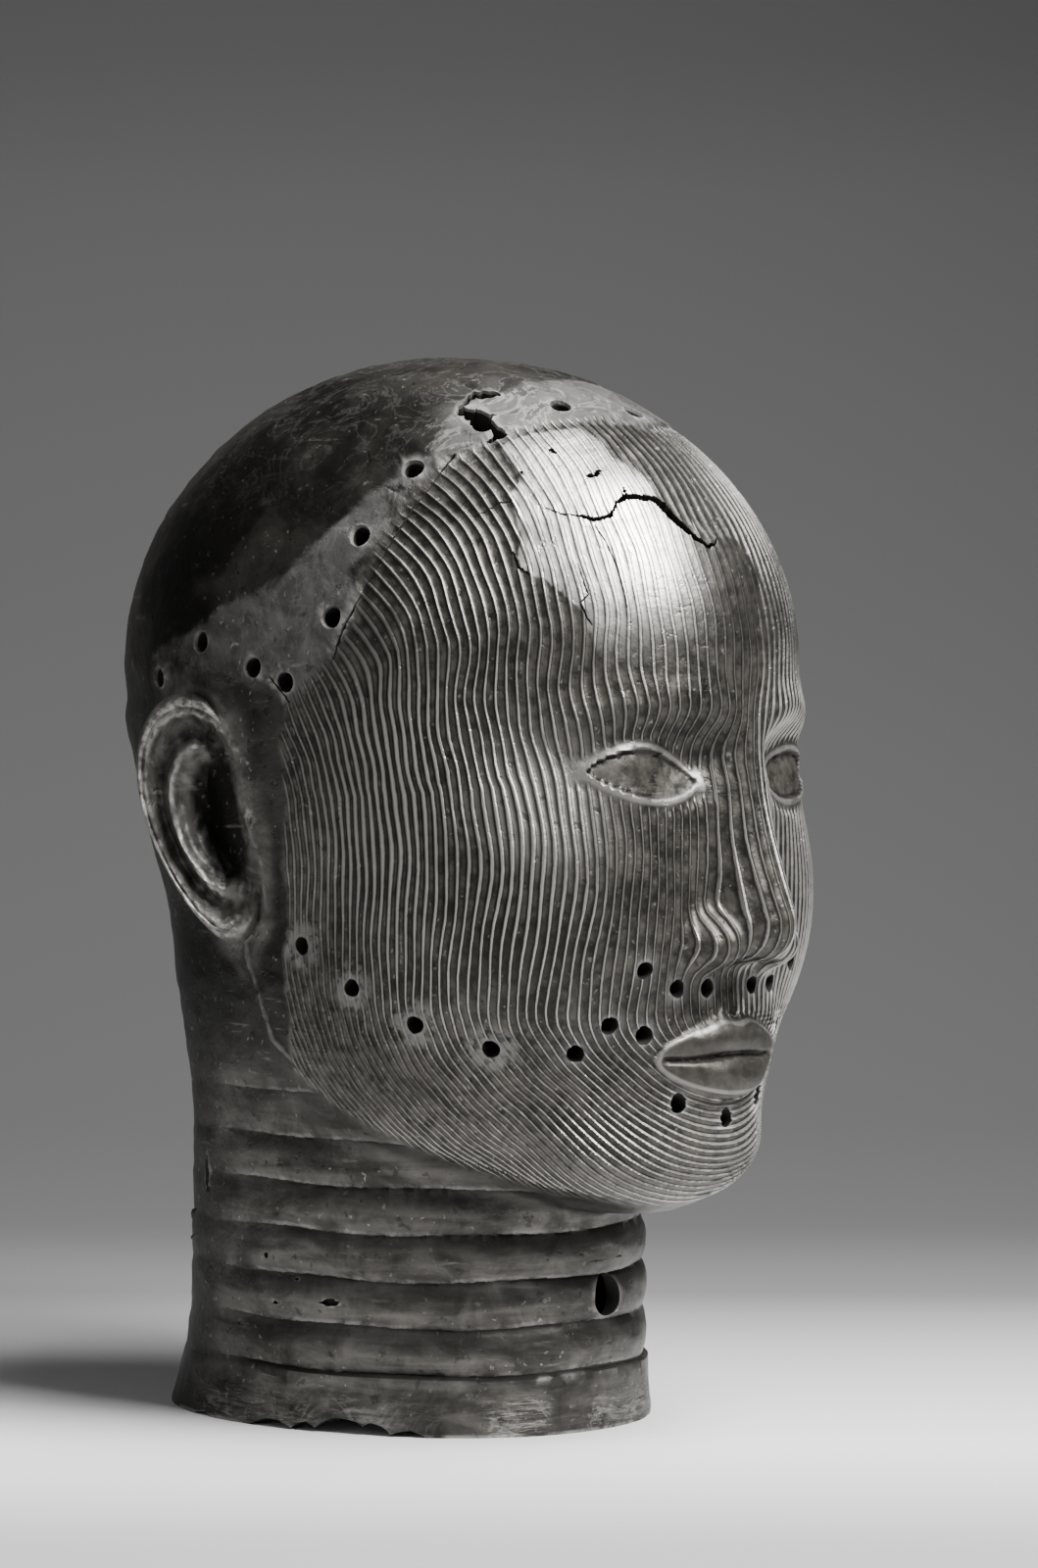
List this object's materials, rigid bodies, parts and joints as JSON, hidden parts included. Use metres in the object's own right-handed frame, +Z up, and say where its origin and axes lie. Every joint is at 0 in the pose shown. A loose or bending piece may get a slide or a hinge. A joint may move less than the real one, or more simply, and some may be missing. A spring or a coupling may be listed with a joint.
{
  "type": "bronze head sculpture",
  "caption": "Life-size hollow cast head on a ringed neck, with fluted face, pierced hairline and beard, open below; stands on its rim.",
  "frame": {"origin": "on the ground under the neck's rim, at the middle of the whole head's box", "axes": "+Z up to the crown; the face looks towards -Y; +X is the head's own left"},
  "size_m": [0.1784, 0.223, 0.3],
  "materials": {
    "dark_bronze": "dark brown patina on cast copper alloy, satin, worn lighter along ridges and on the brow"
  },
  "bodies": {
    "root": {"head_casting": "dark_bronze"}
  },
  "joints": []
}
